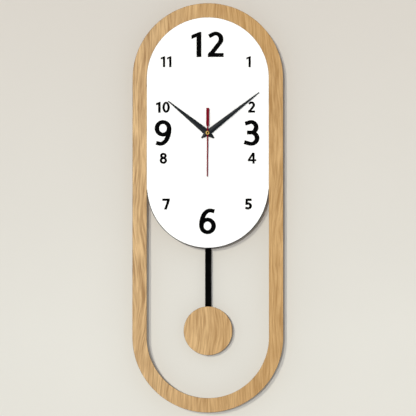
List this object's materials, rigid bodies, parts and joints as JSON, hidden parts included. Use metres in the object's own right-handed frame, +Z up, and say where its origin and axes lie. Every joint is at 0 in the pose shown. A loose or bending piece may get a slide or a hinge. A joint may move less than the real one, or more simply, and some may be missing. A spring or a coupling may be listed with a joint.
{
  "type": "pendulum wall clock",
  "caption": "Capsule-shaped light oak wall clock: white dial with black numerals in the upper part, a round wooden bob swinging on a black rod in the open lower part.",
  "frame": {"origin": "centre of the hanger plate's hole at its wall face, so the wall is the plane y = 0", "axes": "+Z up along the clock's height, +X to the viewer's right, +Y into the wall; the dial faces -Y"},
  "size_m": [0.221, 0.0362, 0.5998],
  "materials": {
    "oak_veneer": "light oak veneer, satin clear lacquer",
    "dial_white": "satin white laminate",
    "hardboard": "raw brown hardboard",
    "numeral_black": "matt black cut vinyl",
    "zinc_steel": "zinc plated",
    "pine": "sanded raw pine",
    "hanger_steel": "bright zinc plate",
    "pad_rubber": "black rubber",
    "case_black": "moulded black plastic, fine texture",
    "brass": "polished brass",
    "white_plastic": "moulded natural acetal",
    "board_green": "solder mask green",
    "can_steel": "bright steel",
    "chip_black": "black epoxy",
    "lamination_steel": "soft iron sheet",
    "bobbin_plastic": "natural nylon",
    "copper_wire": "enamelled copper wire",
    "battery_jacket": "plain dark jacket",
    "contact_steel": "nickel plated spring steel",
    "gear_plastic": "moulded acetal",
    "magnet": "nickel plated magnet",
    "hand_black": "satin black lacquer",
    "hand_red": "satin dark red lacquer",
    "rod_black": "matt black powder coat"
  },
  "bodies": {
    "clock_body": {"ring_frame": "oak_veneer", "dial_plate": "dial_white", "backing_plate": "hardboard", "numerals_large": "numeral_black", "numerals_small": "numeral_black", "ring_screws": "zinc_steel", "dial_screws": "zinc_steel", "hanger_block": "pine", "hanger_plate": "hanger_steel", "hanger_screws": "zinc_steel", "block_screws": "zinc_steel", "standoff_spacers": "pine", "wall_pads": "pad_rubber", "spacer_screws": "zinc_steel", "case_front": "case_black", "case_back": "case_black", "case_screws": "zinc_steel", "threaded_bushing": "brass", "rubber_washer": "pad_rubber", "brass_washer": "brass", "hex_nut": "brass", "middle_plate": "white_plastic", "circuit_board": "board_green", "quartz_crystal": "can_steel", "driver_chip": "chip_black", "stator": "lamination_steel", "coil_core": "lamination_steel", "coil_bobbin": "bobbin_plastic", "coil_winding": "copper_wire", "battery": "battery_jacket", "battery_contacts": "contact_steel", "pivot_pin": "can_steel", "drive_bobbin": "bobbin_plastic", "drive_winding": "copper_wire", "drive_board": "board_green"},
    "second_train": {"second_arbor": "can_steel", "second_wheel": "gear_plastic", "second_hand": "hand_red", "second_hand_boss": "brass"},
    "intermediate": {"intermediate_wheel": "gear_plastic"},
    "rotor": {"rotor_pinion": "gear_plastic", "rotor_magnet": "magnet"},
    "third": {"third_wheel": "gear_plastic"},
    "centre": {"centre_wheel": "gear_plastic"},
    "minute_train": {"cannon_pipe": "brass", "cannon_pinion": "gear_plastic", "minute_hand": "hand_black", "minute_nut": "brass"},
    "minute_work": {"minute_wheel": "gear_plastic"},
    "hour_train": {"hour_wheel": "gear_plastic", "hour_pipe": "brass", "hour_hand": "hand_black"},
    "setting": {"setting_knob": "white_plastic"},
    "pendulum": {"pendulum_arm": "white_plastic", "pendulum_magnet": "magnet", "pendulum_rod": "rod_black", "pendulum_bob": "oak_veneer", "bob_screws": "zinc_steel"}
  },
  "joints": [
    {"name": "second_hand", "type": "hinge", "parent": "clock_body", "child": "second_train", "pos_m": [0, 0, -0.172], "axis": [0, 1, 0], "continuous": true},
    {"name": "intermediate_spin", "type": "hinge", "parent": "clock_body", "child": "intermediate", "pos_m": [0.00952, 0, -0.16756], "axis": [0, 1, 0], "continuous": true},
    {"name": "rotor_spin", "type": "hinge", "parent": "clock_body", "child": "rotor", "pos_m": [0.01779, 0, -0.16062], "axis": [0, 1, 0], "continuous": true},
    {"name": "third_spin", "type": "hinge", "parent": "clock_body", "child": "third", "pos_m": [-0.00985, 0, -0.17464], "axis": [0, 1, 0], "continuous": true},
    {"name": "centre_spin", "type": "hinge", "parent": "clock_body", "child": "centre", "pos_m": [0, 0, -0.172], "axis": [0, 1, 0], "continuous": true},
    {"name": "minute_hand", "type": "hinge", "parent": "clock_body", "child": "minute_train", "pos_m": [0, 0, -0.172], "axis": [0, 1, 0], "continuous": true},
    {"name": "minute_wheel_spin", "type": "hinge", "parent": "clock_body", "child": "minute_work", "pos_m": [-0.00167, 0, -0.16255], "axis": [0, 1, 0], "continuous": true},
    {"name": "hour_hand", "type": "hinge", "parent": "clock_body", "child": "hour_train", "pos_m": [0, 0, -0.172], "axis": [0, 1, 0], "continuous": true},
    {"name": "setting_knob", "type": "hinge", "parent": "clock_body", "child": "setting", "pos_m": [-0.00902, 0, -0.15637], "axis": [0, 1, 0], "continuous": true},
    {"name": "pendulum", "type": "hinge", "parent": "clock_body", "child": "pendulum", "pos_m": [0, 0, -0.214], "axis": [0, 1, 0], "range_deg": [-8, 8]}
  ],
  "couplings": [
    {"joint": "intermediate_spin", "follows": "second_hand", "ratio": -6},
    {"joint": "rotor_spin", "follows": "second_hand", "ratio": 30},
    {"joint": "third_spin", "follows": "second_hand", "ratio": -0.13333},
    {"joint": "centre_spin", "follows": "second_hand", "ratio": 0.016667},
    {"joint": "minute_wheel_spin", "follows": "minute_hand", "ratio": -0.33333},
    {"joint": "hour_hand", "follows": "minute_hand", "ratio": 0.083333},
    {"joint": "setting_knob", "follows": "minute_hand", "ratio": 1}
  ]
}
